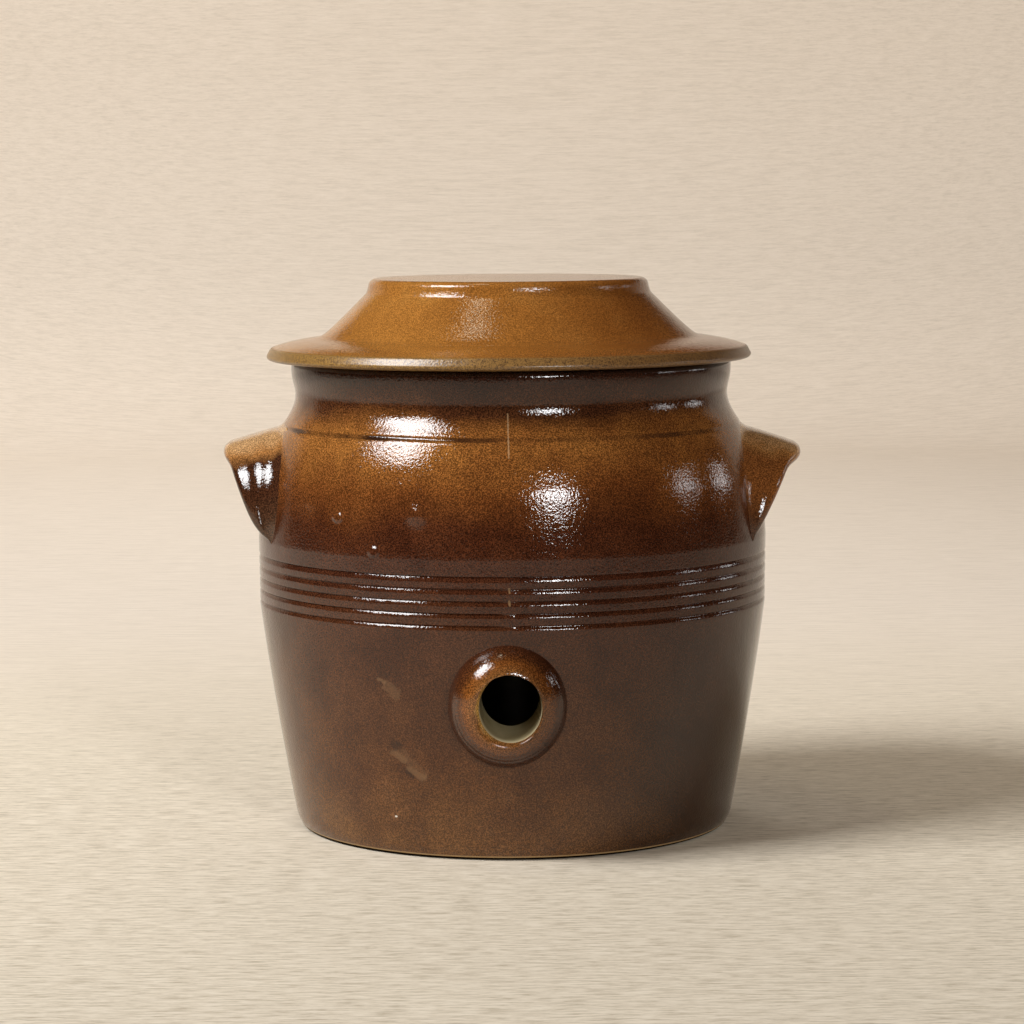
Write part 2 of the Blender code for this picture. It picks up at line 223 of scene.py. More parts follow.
def grid_mesh(name, rings, pole_start=False, pole_end=False, loop=False):
    """A smooth mesh from rings of points. A pole ring is drawn together into one point.
    With loop, the last ring joins the first."""
    rings = np.asarray(rings)
    rows, columns, _ = rings.shape
    points = []
    index = np.zeros((rows, columns), dtype=int)
    for row in range(rows):
        if (row == 0 and pole_start) or (row == rows - 1 and pole_end):
            index[row] = len(points)
            points.append(rings[row].mean(axis=0))
            continue
        for column in range(columns):
            index[row, column] = len(points)
            points.append(rings[row, column])
    faces = []
    for row in range(rows if loop else rows - 1):
        after = (row + 1) % rows
        for column in range(columns):
            beside = (column + 1) % columns
            corners = [index[row, column], index[row, beside], index[after, beside], index[after, column]]
            face = list(dict.fromkeys(int(c) for c in corners))
            if len(face) > 2:
                faces.append(face)
    mesh = bpy.data.meshes.new(name)
    mesh.from_pydata([tuple(float(v) for v in point) for point in points], [], faces)
    mesh.update()
    mesh.shade_smooth()
    obj = bpy.data.objects.new(name, mesh)
    bpy.context.scene.collection.objects.link(obj)
    return obj


def face_outwards(obj):
    """Turn the faces of a closed mesh to point out."""
    build = bmesh.new()
    build.from_mesh(obj.data)
    bmesh.ops.recalc_face_normals(build, faces=build.faces)
    if build.calc_volume(signed=True) < 0:
        bmesh.ops.reverse_faces(build, faces=build.faces)
    build.to_mesh(obj.data)
    build.free()


def turned_rings(section, steps):
    """Rings of points from a half-section, turned round Z."""
    section = np.asarray(section)
    angles = np.linspace(0.0, 2 * math.pi, steps, endpoint=False)
    rings = np.zeros((len(section), steps, 3))
    rings[:, :, 0] = section[:, 0, None] * np.cos(angles)
    rings[:, :, 1] = section[:, 0, None] * np.sin(angles)
    rings[:, :, 2] = section[:, 1, None]
    return rings


def wobble(x, y, z, size, seed):
    """A slow hand-made unevenness between -1 and 1, from a few crossing waves."""
    rng = np.random.default_rng(seed)
    total = np.zeros(np.broadcast(x, y, z).shape)
    for _ in range(7):
        direction = rng.normal(size=3)
        direction /= np.linalg.norm(direction)
        phase = rng.uniform(0, 2 * math.pi)
        wave = (x * direction[0] + y * direction[1] + z * direction[2]) * 2 * math.pi / size
        total += np.sin(wave * rng.uniform(0.6, 1.5) + phase)
    return total / 7


# ---------------------------------------------------------------- crock

def smooth_step(value):
    """0 to 1, level at both ends, for a value that is clipped to 0 and 1."""
    value = np.clip(value, 0.0, 1.0)
    return value * value * (3 - 2 * value)


def groove_relief(height, seam):
    """The reeded band: each groove steps in under a reed and slopes out again onto the next one down."""
    relief = np.zeros_like(height)
    for number in range(GROOVE_COUNT):
        top = TOP_GROOVE - number * GROOVE_PITCH
        tall = (2.6 - 0.15 * number) * MM
        below = top - height
        step_in = np.clip(below / GROOVE_LEDGE, 0.0, 1.0)
        slope_out = np.clip((tall - below) / (tall - GROOVE_LEDGE), 0.0, 1.0) ** 1.5
        # The seam fills the lower grooves right up, and the upper ones partly
        keep = seam if number > 2 else 0.45 + 0.55 * seam
        deep = np.where(below < GROOVE_LEDGE, step_in, slope_out)
        relief -= np.where((below > 0) & (below < tall), GROOVE_DEPTH * deep * keep, 0.0)
    return relief


def crock_relief(rings):
    """Push the outer wall in and out: grooves, the shoulder's crease, bumps, the mould seam, slow waves."""
    x, y, z = rings[:, :, 0], rings[:, :, 1], rings[:, :, 2]
    radius = np.hypot(x, y)
    across = x - SEAM_X
    seam = 1.0 - np.exp(-(across / (2.2 * MM)) ** 2)
    move = groove_relief(z, seam)
    # The crease is deeper on one side of the seam
    deep = np.where(x < SEAM_X, 2.0, 0.8)
    crease_level = CREASE[1] + 0.35 * MM * np.sin(np.arctan2(y, x) * 5.0)
    move += -CREASE_DEPTH * deep * np.exp(-((z - crease_level) / CREASE_WIDTH) ** 2)
    for bump_x, bump_z, size, tall in SMALL_BUMPS:
        gap = np.hypot(x - bump_x, z - bump_z) / size
        move += np.where(y < 0, tall * np.exp(-gap ** 2), 0.0)
    ridge = np.exp(-(across / (0.45 * MM)) ** 2)
    on_shoulder = np.clip((z - 158 * MM) / (6 * MM), 0, 1) * np.clip((188 * MM - z) / (4 * MM), 0, 1)
    on_band = np.clip((z - 100 * MM) / (4 * MM), 0, 1) * np.clip((134 * MM - z) / (4 * MM), 0, 1)
    move += SEAM_HEIGHT * ridge * np.maximum(on_shoulder, 0.6 * on_band)
    move += 0.22 * MM * wobble(x, y, z, 90 * MM, 3) + 0.05 * MM * wobble(x, y, z, 17 * MM, 5)
    fade = np.clip(z / (5 * MM), 0, 1) * np.clip((RIM_TOP - z) / (4 * MM), 0, 1)
    scale = 1.0 + np.where(radius > 0, move * fade / np.maximum(radius, 1e-9), 0.0)
    rings[:, :, 0] = x * scale
    rings[:, :, 1] = y * scale
    return rings


def tap_frame(sideways):
    """The tap collar's own axes at the middle of its lip: Z points out of the hole."""
    out = wall_radius(TAP_HEIGHT) + COLLAR_LENGTH * math.cos(TAP_TILT)
    middle = Vector((TAP_X, -out, TAP_HEIGHT - COLLAR_LENGTH * math.sin(TAP_TILT)))
    turn = Euler((math.radians(90.0) + TAP_TILT, 0.0, sideways)).to_matrix().to_4x4()
    return Matrix.Translation(middle) @ turn


def bore_frame():
    """The bore's own axes: straight ahead, and a little off the middle of the lip."""
    return Matrix.Translation(BORE_SHIFT) @ tap_frame(0.0)


def make_crock():
    """The pot: outside, rim and inside in one skin, with the tap hole cut through the wall."""
    outer = turned_rings(crock_outside(), ROUND_STEPS)
    inner = turned_rings(crock_inside()[::-1], ROUND_STEPS)
    rings = np.concatenate([crock_relief(outer), inner[1:]])
    crock = grid_mesh("stoneware_pot", rings, pole_start=True, pole_end=True)
    face_outwards(crock)
    front = 6 * MM
    back = -26 * MM
    hole = turned_rings([(0, front), (CUT_RADIUS, front), (CUT_RADIUS, back), (0, back)], 96)
    hole[:, :, 1] *= BORE_OVAL
    cutter = grid_mesh("tap_hole_cutter", hole, pole_start=True, pole_end=True)
    face_outwards(cutter)
    cutter.matrix_world = bore_frame()
    apply_cut(crock, cutter)
    return crock


def apply_cut(obj, cutter):
    """Cut one mesh out of another for good, and leave nothing of the cutter."""
    boolean = obj.modifiers.new("hole", "BOOLEAN")
    boolean.operation = "DIFFERENCE"
    boolean.solver = "EXACT"
    boolean.object = cutter
    bpy.context.view_layer.update()
    evaluated = obj.evaluated_get(bpy.context.evaluated_depsgraph_get())
    mesh = bpy.data.meshes.new_from_object(evaluated)
    obj.modifiers.clear()
    obj.data = mesh
    bpy.data.objects.remove(cutter, do_unlink=True)
    mesh.shade_smooth()
    mesh.set_sharp_from_angle(angle=math.radians(50.0))


# ---------------------------------------------------------------- tap collar

def collar_outline():
    """The bore and the lip's face, as (radius, depth): from the bore's inner end out over the lip."""
    bore_end = (BORE_RADIUS, -BORE_LENGTH)
    bore = straight(bore_end, at(12.9, -4.2), 1.2 * MM)
    mouth = bend(bore[-1], at(12.95, -2.0), at(13.3, 0.2), at(14.6, 0.4), 12)
    lip = bend(mouth[-1], at(15.3, 0.5), at(15.9, 0.1), LIP_EDGE, 8)
    return np.array([np.array(bore_end)] + bore + mouth + lip)


def flank_outline():
    """The collar behind its lip, as (radius, height over the wall): a slope that rounds over towards the
    wall, then a skirt sunk in it."""
    start = (LIP_EDGE[0], COLLAR_LENGTH + LIP_EDGE[1])
    skirt = FLANK_RADIUS + 0.4 * MM
    slope = bend(start, at(22.4, 6.8), (FLANK_RADIUS - 1.2 * MM, 3.8 * MM), (FLANK_RADIUS, 0.1 * MM), 44)
    return slope + [(skirt, -0.6 * MM), (skirt, -SKIRT_SINK), (15.2 * MM, -SKIRT_SINK)]


def oval_ring(axes, radius, oval, depth, angles):
    """A ring of points square to an axis, stretched upright into an oval."""
    return [axes @ Vector((radius * math.cos(a), oval * radius * math.sin(a), depth)) for a in angles]


def flank_point(radius, height, angle, lip_axes):
    """A point of the flank: its top stays in the lip's own plane, and its skirt follows the wall."""
    outer = 1.0 if height < 0 else min(1.0, (radius - LIP_EDGE[0]) / (FLANK_RADIUS - LIP_EDGE[0]))
    # Fine turning lines, clearest low on the left
    clear = 0.25 + 0.75 * max(0.0, math.cos(angle - math.radians(225.0)))
    lines = sum(math.exp(-((radius - line) / (0.34 * MM)) ** 2) for line in TURNING_LINES)
    level = height - 0.26 * MM * clear * lines
    across = radius * math.cos(angle)
    up = TAP_OVAL * radius * math.sin(angle)
    middle = lip_axes @ Vector((0.0, 0.0, -COLLAR_LENGTH)) + Vector((0.4 * MM, 0.0, -1.4 * MM * outer))
    spot_x = middle.x + across
    spot_z = middle.z + up
    wall = wall_radius(spot_z)
    on_wall = Vector((spot_x, -math.sqrt(wall ** 2 - spot_x ** 2), spot_z))
    outwards = Vector((spot_x, on_wall.y, -0.15 * wall)).normalized()
    in_plane = lip_axes @ Vector((across, up, -COLLAR_LENGTH + level))
    return in_plane.lerp(on_wall + outwards * level, float(smooth_step(outer)))


def make_collar():
    """The collar: bore, rounded lip, fine turning lines, and a flank that flows into the wall."""
    outline = collar_outline()
    angles = np.linspace(0.0, 2 * math.pi, 144, endpoint=False)
    bore_share = np.clip((15.0 * MM - outline[:, 0]) / (1.6 * MM), 0.0, 1.0)
    lip_axes = tap_frame(TAP_SKEW)
    bore_axes = bore_frame()
    rings = []
    for (radius, depth), share in zip(outline, bore_share):
        on_lip = oval_ring(lip_axes, radius, TAP_OVAL, depth, angles)
        in_hole = oval_ring(bore_axes, radius, BORE_OVAL, depth, angles)
        rings.append([point.lerp(other, share) for point, other in zip(on_lip, in_hole)])
    for radius, height in flank_outline():
        rings.append([flank_point(radius, height, angle, lip_axes) for angle in angles])
    rings.append(oval_ring(bore_axes, BORE_RADIUS + 1.0 * MM, BORE_OVAL, -BORE_LENGTH, angles))
    points = np.array([[tuple(point) for point in ring] for ring in rings])
    collar = grid_mesh("collar_of_tap_hole", points, loop=True)
    face_outwards(collar)
    collar.data.set_sharp_from_angle(angle=math.radians(60.0))
    return collar


# ---------------------------------------------------------------- lugs

def lug_arches(quarter, shape):
    """The root's point inside the wall and the lip's point, from the hood's top (0) to an end (90
    degrees)."""
    side = math.copysign(1.0, quarter)
    sine = abs(math.sin(quarter))
    cosine = math.cos(quarter)
    wide = side * sine ** LUG_ARCH_POWER
    rise = max(cosine, 0.0) ** LUG_ARCH_POWER
    root_half, lip_half = LUG_HALF_WIDTHS
    root = Vector((LUG_ROOT[0], root_half * wide, LUG_BOTTOM + (LUG_ROOT[1] - LUG_BOTTOM) * rise))
    height = LUG_BOTTOM + (shape["tip"][1] - LUG_BOTTOM) * rise
    drop = shape["tip"][1] - height
    back = shape["nose"] * (1.0 - math.exp(-(drop / (4 * MM)) ** 2)) + shape["lean"] * drop
    back += shape["hook"] * (drop / (shape["tip"][1] - LUG_BOTTOM)) ** 8
    return root, Vector((shape["tip"][0] - back, lip_half * wide, height))


def wall_cross(root, lip):
    """Where the line from root to lip leaves the crock's wall, as a share of the line."""
    low, high = 0.0, 1.0
    if math.hypot(lip.x, lip.y) < wall_radius(lip.z):
        return 1.0
    for _ in range(24):
        middle = (low + high) / 2
        point = root.lerp(lip, middle)
        if math.hypot(point.x, point.y) < wall_radius(point.z):
            low = middle
        else:
            high = middle
    return high


def onto_wall(point, sink):
    """The point moved level to the crock's wall, and a little into it."""
    radius = math.hypot(point.x, point.y)
    scale = (wall_radius(point.z) - sink) / radius
    return Vector((point.x * scale, point.y * scale, point.z))


def inside_wall(point, deepest):
    """The point itself, or moved out to this depth in the wall if it lies deeper, so nothing shows inside."""
    if math.hypot(point.x, point.y) > wall_radius(point.z) - deepest:
        return point
    return onto_wall(point, deepest)


def lug_section(angle, shape):
    """One cross-section of the hood: skirt, outer face, round lip, inner face, skirt."""
    step = 0.01
    root, lip = lug_arches(angle, shape)
    before = lug_arches(angle - step, shape)
    after = lug_arches(angle + step, shape)
    out = (lip - root).normalized()
    along = ((after[0] + after[1]) - (before[0] + before[1])).normalized()
    normal = out.cross(along).normalized()
    if normal.dot(Vector((0.0, root.y, root.z - 140 * MM))) < 0:
        normal = -normal
    cross = wall_cross(root, lip)
    start = root.lerp(lip, cross)
    reach = (lip - start).length
    blend = min(1.0, reach / (14 * MM))
    flank = abs(math.sin(angle))
    fillet = (3.0 + 4.5 * flank) * MM * blend
    half = LUG_WALL / 2
    section = []

    def face(share, side):
        bulge = shape["crown"] * 4 * share * (1 - share) * (reach / (28 * MM))
        ripple = -math.cos(2 * math.pi * (share - 0.5) / 0.34) * math.sin(math.pi * share)
        bulge += shape["ripple"] * flank ** 2 * blend * ripple
        thick = LUG_WALL * (1.0 + 0.25 * (1 - share)) if side else 0.0
        return start.lerp(lip, share) + normal * (bulge - thick)

    # Outer skirt: leaves the wall and turns up into the outer face
    skirt = onto_wall(start + normal * fillet * 1.2, 0.45 * MM)
    corner = onto_wall(start, 0.0)
    first = min(0.9, fillet / max(reach, MM))
    join = face(first, 0)
    for t in np.linspace(0, 1, 9):
        section.append(skirt.lerp(corner, t).lerp(corner.lerp(join, t), t))
    stop = 1.0 - half / max(reach, LUG_WALL)
    for share in np.linspace(first, max(stop, first), 20)[1:]:
        section.append(face(share, 0))
    centre = lip - normal * half - out * half
    for turn in np.radians(np.linspace(80, -80, 11)):
        section.append(centre + out * half * math.cos(turn) + normal * half * math.sin(turn))
    inner_fillet = 5.0 * MM * blend
    first = min(0.9, inner_fillet / max(reach, MM))
    for share in np.linspace(max(stop, first), first, 10):
        section.append(face(share, 1))
    join = face(first, 1)
    corner = onto_wall(face(0.0, 1), 0.0)
    skirt = onto_wall(face(0.0, 1) - normal * inner_fillet, 0.45 * MM)
    for t in np.linspace(0, 1, 8)[1:]:
        section.append(join.lerp(corner, t).lerp(corner.lerp(skirt, t), t))
    section.append(onto_wall(skirt, 3.0 * MM))
    section.append(onto_wall(face(0.0, 1) + normal * half, 5.0 * MM))
    section.append(onto_wall(section[0], 3.0 * MM))
    return [inside_wall(point, 5.0 * MM) for point in section]


def make_lug(name, side, shape):
    """One hooded lug, a skin of cross-sections from one end of its arch to the other."""
    angles = np.linspace(-math.pi / 2, math.pi / 2, LUG_COLUMNS)
    rings = np.array([[tuple(p) for p in lug_section(a, shape)] for a in angles])
    rings[:, :, 0] *= side
    x, y, z = rings[:, :, 0], rings[:, :, 1], rings[:, :, 2]
    uneven = 0.25 * MM * wobble(x, y, z, 30 * MM, 11 if side > 0 else 12)
    rings[:, :, 2] += uneven
    lug = grid_mesh(name, rings)
    cap_ends(lug)
    face_outwards(lug)
    lug.data.set_sharp_from_angle(angle=math.radians(70.0))
    return lug


def cap_ends(obj):
    """Close the two ends of the hood, which lie inside the wall."""
    build = bmesh.new()
    build.from_mesh(obj.data)
    bmesh.ops.holes_fill(build, edges=[edge for edge in build.edges if edge.is_boundary], sides=0)
    build.to_mesh(obj.data)
    build.free()
    obj.data.shade_smooth()


# ---------------------------------------------------------------- lid

def lid_top_outline():
    """The lid's outside, from the middle of its top out over the cone and the brim to the brim's edge."""
    top = lid_high.z
    middle = (0.0, top - 0.25 * MM)
    flat = [np.array(middle)] + straight(middle, (58.2 * MM, top - 0.05 * MM), 4 * MM)
    shoulder = bend(flat[-1], (60.4 * MM, top), (61.7 * MM, top - 1.2 * MM), (62.0 * MM, top - 2.6 * MM), 8)
    band_end = (63.2 * MM, top - 6.6 * MM)
    band = bend(shoulder[-1], (62.2 * MM, top - 4.0 * MM), (62.7 * MM, top - 5.6 * MM), band_end, 8)
    cove_end = (65.2 * MM, top - 8.6 * MM)
    cove = bend(band_end, (63.7 * MM, top - 7.2 * MM), (64.3 * MM, top - 7.7 * MM), cove_end, 6)
    cone = bend(cove_end, at(72.0, 227.6), at(79.0, 220.6), at(82.6, 218.2), 22)
    foot = bend(cone[-1], at(83.9, 217.3), at(85.4, 216.9), at(87.2, 216.7), 8)
    brim = bend(foot[-1], at(94.0, 215.9), at(100.5, 214.5), at(103.8, 213.3), 14)
    return flat + shoulder + band + cove + cone + foot + brim


def lid_under_outline(start):
    """The lid's underside, from the top of the brim's edge in over the locating ring to the middle."""
    under = lid_low.z + LID_RIDE
    radius = lid_high.x
    edge = bend(start, at(104.8, 213.0), at(105.5, 212.8), at(105.9, 212.2), 6)
    widest = (radius - 0.4 * MM, 209.5 * MM)
    edge += bend(edge[-1], at(106.4, 211.2), at(107.0, 210.2), widest, 7)
    edge += bend(widest, (radius, 208.5 * MM), (106.9 * MM, under), (104.2 * MM, under), 8)
    ring = straight(edge[-1], (84.6 * MM, under), 2.5 * MM)
    ring_top = (83.5 * MM, under - 1.4 * MM)
    ring += bend(ring[-1], (83.6 * MM, under), (83.7 * MM, under - 0.6 * MM), ring_top, 4)
    ring += straight(ring_top, (82.9 * MM, lid_low.z + 1.6 * MM), 1.2 * MM)
    ring += bend(ring[-1], (82.7 * MM, lid_low.z), (82.4 * MM, lid_low.z), (80.6 * MM, lid_low.z), 5)
    ring += bend(ring[-1], (78.6 * MM, lid_low.z), (77.9 * MM, lid_low.z), (77.8 * MM, lid_low.z + 2 * MM), 5)
    ring += straight(ring[-1], at(77.6, 208.5), 1.5 * MM)
    hollow = bend(ring[-1], at(77.2, 212.0), at(73.0, 215.5), at(68.5, 219.8), 10)
    hollow += bend(hollow[-1], at(60.5, 227.5), at(58.0, 233.5), at(48.0, 235.3), 12)
    hollow += straight(hollow[-1], (0.0, 236.0 * MM), 5 * MM)
    return edge + ring + hollow


def make_lid():
    """The hat-shaped lid, turned in one skin, then made slightly uneven and set a little off centre."""
    outside = lid_top_outline()
    rings = turned_rings(outside + lid_under_outline(outside[-1]), ROUND_STEPS)
    x, y, z = rings[:, :, 0], rings[:, :, 1], rings[:, :, 2]
    radius = np.hypot(x, y)
    share = np.clip(radius / (20 * MM), 0, 1)
    rings[:, :, 2] = z + share * 0.16 * MM * wobble(x, y, 0 * z, 120 * MM, 21)
    scale = 1.0 + share * 0.14 * MM * wobble(x, y, z, 70 * MM, 22) / np.maximum(radius, 1e-9)
    rings[:, :, 0] = x * scale - LID_OFF_CENTRE
    rings[:, :, 1] = y * scale
    lid = grid_mesh("hat_lid", rings, pole_start=True, pole_end=True)
    face_outwards(lid)
    lid.data.set_sharp_from_angle(angle=math.radians(60.0))
    return lid


# ---------------------------------------------------------------- materials

# How deep the glaze's orange peel and the clay's grit under it go
PEEL = 0.105 * MM
GRIT = 0.03 * MM


class Nodes:
    """Short calls for building one material's nodes."""

    def __init__(self, name):
        self.material = bpy.data.materials.new(name)
        self.material.use_nodes = True
        self.tree = self.material.node_tree
        self.shader = self.tree.nodes["Principled BSDF"]
        self.place = self.node("ShaderNodeTexCoord").outputs["Object"]

    def node(self, kind, **values):
        made = self.tree.nodes.new(kind)
        for name, value in values.items():
            setattr(made, name, value)
        return made

    def link(self, source, target):
        self.tree.links.new(source, target)

    def set(self, target, value):
        """Give an input a plain value, or link it to another node's output."""
        if isinstance(value, bpy.types.NodeSocket):
            self.link(value, target)
        else:
            target.default_value = value

    def put(self, name, value):
        """Give one of the shader's own inputs a value or a link."""
        self.set(self.shader.inputs[name], value)

    def math(self, operation, first, second=0.0, third=0.0, clamp=False):
        """A sum or other function of up to three values or outputs."""
        made = self.node("ShaderNodeMath", operation=operation, use_clamp=clamp)
        for socket, value in zip(made.inputs, (first, second, third)):
            self.set(socket, value)
        return made.outputs[0]

    def times(self, first, second, clamp=False):
        return self.math("MULTIPLY", first, second, clamp=clamp)

    def noise(self, scale, detail=2.0, rough=0.5, stretch=None):
        """Noise with features of about 1 / scale metres, or stretched along the axes."""
        place = self.place
        if stretch is not None:
            mapping = self.node("ShaderNodeMapping")
            mapping.inputs["Scale"].default_value = stretch
            self.link(place, mapping.inputs["Vector"])
            place = mapping.outputs[0]
        made = self.node("ShaderNodeTexNoise")
        made.inputs["Scale"].default_value = scale
        made.inputs["Detail"].default_value = detail
        made.inputs["Roughness"].default_value = rough
        self.link(place, made.inputs["Vector"])
        return made.outputs["Fac"]

    def ramp(self, value, stops):
        """A colour ramp: stops are (position, colour)."""
        made = self.node("ShaderNodeValToRGB")
        elements = made.color_ramp.elements
        while len(elements) < len(stops):
            elements.new(0.5)
        for element, (position, colour) in zip(elements, stops):
            element.position = position
            element.color = (*colour, 1.0)
        self.link(value, made.inputs[0])
        return made.outputs[0]

    def range(self, value, low, high, to_low=0.0, to_high=1.0):
        """A smooth step from to_low to to_high, as the value goes from low to high."""
        made = self.node("ShaderNodeMapRange")
        made.interpolation_type = "SMOOTHSTEP"
        for socket, number in zip(made.inputs, (value, low, high, to_low, to_high)):
            self.set(socket, number)
        return made.outputs[0]

    def mix(self, share, first, second, blend="MIX"):
        """From the first colour to the second by a share. Sockets 6 and 7 are a Mix node's colours."""
        made = self.node("ShaderNodeMix", data_type="RGBA", blend_type=blend)
        self.set(made.inputs[0], share)
        for socket, value in zip((made.inputs[6], made.inputs[7]), (first, second)):
            self.set(socket, (*value, 1.0) if isinstance(value, tuple) else value)
        return made.outputs[2]

    def tinted(self, colour, tint, share=1.0):
        """A colour multiplied by another one, by a share."""
        return self.mix(share, colour, tint, "MULTIPLY")

    def grey(self, value):
        """A colour with the same value in all three channels."""
        made = self.node("ShaderNodeCombineColor")
        for socket in made.inputs:
            self.link(value, socket)
        return made.outputs[0]

    def axes(self):
        """The place on the object as three outputs: x, y and z in metres."""
        made = self.node("ShaderNodeSeparateXYZ")
        self.link(self.place, made.inputs[0])
        return made.outputs

    def axis(self, index):
        return self.axes()[index]

    def near_line(self, start, end, half_width, ragged=0.0):
        """1 close to a straight line on the front, start and end as (x, z), and 0 away from it."""
        x, y, z = self.axes()
        across = self.math("SUBTRACT", x, start[0])
        up = self.math("SUBTRACT", z, start[1])
        run = (end[0] - start[0], end[1] - start[1])
        length = run[0] ** 2 + run[1] ** 2
        climb = self.times(up, run[1] / length)
        share = self.math("MULTIPLY_ADD", across, run[0] / length, climb, clamp=True)
        off_x = self.math("SUBTRACT", across, self.times(share, run[0]))
        off_z = self.math("SUBTRACT", up, self.times(share, run[1]))
        gap = self.math("SQRT", self.math("MULTIPLY_ADD", off_x, off_x, self.times(off_z, off_z)))
        if ragged:
            rough_edge = self.math("SUBTRACT", self.noise(420.0, detail=4.0, rough=0.75), 0.5)
            gap = self.math("MULTIPLY_ADD", rough_edge, ragged, gap)
        front = self.math("LESS_THAN", y, 0.0)
        return self.times(self.range(gap, half_width * 0.4, half_width, 1.0, 0.0), front)

    def bump(self, height, distance, under=None):
        """A normal from a height between 0 and 1 and the distance that 1 stands for."""
        made = self.node("ShaderNodeBump")
        made.inputs["Strength"].default_value = 1.0
        made.inputs["Distance"].default_value = distance
        self.set(made.inputs["Height"], height)
        if under is not None:
            self.link(under, made.inputs["Normal"])
        return made.outputs[0]


def glaze_surface(nodes, peel, grain, coat_roughness=0.05, relief=None):
    """The gloss and the fine orange-peel surface that all the glazes share."""
    for name, value in (("Metallic", 0.0), ("Roughness", 0.42), ("Specular IOR Level", 0.0),
                        ("Coat Weight", 1.0), ("Coat Roughness", coat_roughness), ("Coat IOR", 1.5)):
        nodes.put(name, value)
    waves = nodes.bump(nodes.noise(160.0), 0.08 * MM, relief)
    nodes.put("Coat Normal", nodes.bump(nodes.noise(1050.0, detail=1.5, rough=0.55), peel, waves))
    nodes.put("Normal", nodes.bump(nodes.noise(1500.0), grain, waves))


def grained(nodes, ground, depth):
    """The fine grain that fired iron leaves in all the brown glazes, up to 2 ** depth lighter or darker."""
    grain = nodes.range(nodes.noise(1850.0, rough=0.7), 0.34, 0.66, -1.0, 1.0)
    return nodes.tinted(ground, nodes.grey(nodes.math("POWER", 2.0, nodes.times(grain, depth))))


def pot_colour_with_painted_light(nodes, height):
    """The pot's plain glaze colour: by height, with painted light and shade across it and low down on one
    side, and in slow clouds.
    """
    drift = nodes.math("MULTIPLY_ADD", nodes.noise(22.0, detail=3.0), 0.024, -0.012)
    share = nodes.math("DIVIDE", nodes.math("ADD", height, drift), RIM_TOP, clamp=True)
    # By height; the last stop, darkest at the rim under the lid's brim, is painted shade
    ground = nodes.ramp(share, [
        (0.00, (0.125, 0.052, 0.014)), (0.18, (0.088, 0.031, 0.008)), (0.44, (0.056, 0.018, 0.006)),
        (0.60, (0.044, 0.013, 0.005)), (0.68, (0.056, 0.016, 0.005)), (0.76, (0.122, 0.039, 0.008)),
        (0.85, (0.205, 0.078, 0.015)), (0.88, (0.180, 0.067, 0.013)), (0.915, (0.056, 0.019, 0.006)),
        (1.00, (0.024, 0.008, 0.004))])
    # Painted light and shade: lighter and bluer to the key-lit left, darker to the right, darker still low on
    # the right
    side = nodes.range(nodes.axis(0), -0.105, 0.095, 1.0, 0.0)
    ground = nodes.tinted(ground, nodes.mix(side, (0.86, 0.86, 0.95), (1.14, 1.20, 1.35)))
    painted_low_shade = nodes.times(nodes.range(height, 0.03, 0.13, 1.0, 0.0), nodes.range(nodes.axis(0), 0.01, 0.08))
    ground = nodes.tinted(ground, (0.34, 0.33, 0.33), painted_low_shade)
    clouds = nodes.range(nodes.noise(48.0, detail=5.0, rough=0.6), 0.36, 0.66, 0.0, 0.62)
    return nodes.tinted(ground, (0.55, 0.47, 0.50), clouds)


def crease_shade_and_seam(nodes, colour):
    """A dark line along the crease, partly glaze pooled there and partly painted shade in the groove, and
    pale breaks down the mould seam.
    """
    crease = nodes.near_line((-BELLY, CREASE[1]), (BELLY, CREASE[1]), 1.3 * MM, 1.1 * MM)
    crease = nodes.times(crease, nodes.range(nodes.noise(28.0), 0.40, 0.60, 0.35, 1.00))
    crease = nodes.times(crease, nodes.range(nodes.axis(0), -0.020, 0.010, 1.0, 0.75))
    # Painted shade with pooled glaze: the crease darkened, most on the left
    colour = nodes.mix(crease, colour, (0.024, 0.009, 0.004))
    seam = nodes.near_line(at(-1.5, 189), at(-1.2, 171.5), 0.45 * MM, 1.1 * MM)
    colour = nodes.mix(nodes.times(seam, 0.5), colour, (0.420, 0.270, 0.140))
    for number in (1, 2):
        level = TOP_GROOVE - 1.3 * MM - number * GROOVE_PITCH
        notch = nodes.near_line((-1.4 * MM, level + 1.2 * MM), (-1.2 * MM, level - 0.4 * MM),
                                0.6 * MM, 0.9 * MM)
        colour = nodes.mix(nodes.times(notch, 0.6), colour, (0.300, 0.180, 0.090))
    return colour


def wear(nodes, colour):
    """The scuffs low on the front, a patch of amber flecks, and one bright pit."""
    for start, end, half_width, strength in SCUFFS:
        scuff = nodes.near_line(start, end, half_width, 2.2 * half_width)
        tone = (0.205, 0.112, 0.052) if strength > 0 else (0.024, 0.010, 0.005)
        colour = nodes.mix(nodes.times(scuff, abs(strength)), colour, tone)
    flecks = nodes.near_line(*FLECKS, 6.5 * MM, 5.0 * MM)
    flecks = nodes.times(flecks, nodes.range(nodes.noise(520.0, detail=3.0), 0.55, 0.64, 0.0, 0.5))
    colour = nodes.mix(flecks, colour, (0.260, 0.110, 0.040))
    pit = nodes.near_line(PIT, (PIT[0] + 0.3 * MM, PIT[1]), 0.55 * MM)
    return nodes.mix(pit, colour, (0.75, 0.70, 0.62))


def foot_line_and_painted_shadow(nodes, height, colour):
    """A thin unglazed line at the foot, over a painted shadow on the undercut."""
    colour = nodes.mix(nodes.range(height, 2.1 * MM, 1.7 * MM), colour, (0.360, 0.230, 0.105))
    # Painted shadow: near black where the foot turns under towards the floor
    return nodes.mix(nodes.range(height, 1.35 * MM, 1.15 * MM), colour, (0.006, 0.004, 0.003))


